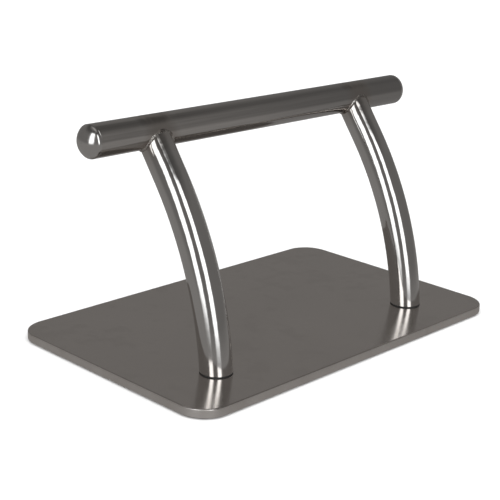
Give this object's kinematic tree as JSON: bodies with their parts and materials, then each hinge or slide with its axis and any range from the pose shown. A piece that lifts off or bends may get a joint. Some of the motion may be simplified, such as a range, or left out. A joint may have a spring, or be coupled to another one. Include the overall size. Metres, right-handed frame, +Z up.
{
  "type": "salon footrest",
  "caption": "Free-standing steel footrest: a round foot bar with domed ends on bent tubular legs that rise and lean back from a flat rectangular base plate with rounded corners.",
  "frame": {"origin": "on the floor, under the middle of the base plate", "axes": "+X along the foot bar, +Y from the legs' feet towards the bar, +Z up"},
  "size_m": [0.415, 0.25, 0.2193],
  "materials": {
    "satin_steel": "satin, brushed lengthwise",
    "brushed_steel": "brushed lengthwise",
    "polished_steel": "mirror polished",
    "weld_steel": "rippled weld bead with light heat tint",
    "cap_steel": "polished",
    "black_washer": "matt black",
    "plain_steel": "turned",
    "screw_steel": "plain stainless",
    "pad_rubber": "matt, fine grained"
  },
  "bodies": {
    "root": {"base_plate": "satin_steel", "bar_tube": "brushed_steel", "left_leg_tube": "polished_steel", "right_leg_tube": "polished_steel", "left_weld_bead": "weld_steel", "right_weld_bead": "weld_steel", "left_bar_end_cap": "cap_steel", "right_bar_end_cap": "cap_steel", "left_foot_washer": "black_washer", "right_foot_washer": "black_washer", "left_leg_threaded_plug": "plain_steel", "right_leg_threaded_plug": "plain_steel", "left_leg_screw": "screw_steel", "right_leg_screw": "screw_steel", "front_left_rubber_pad": "pad_rubber", "front_right_rubber_pad": "pad_rubber", "rear_left_rubber_pad": "pad_rubber", "rear_right_rubber_pad": "pad_rubber"}
  },
  "joints": []
}
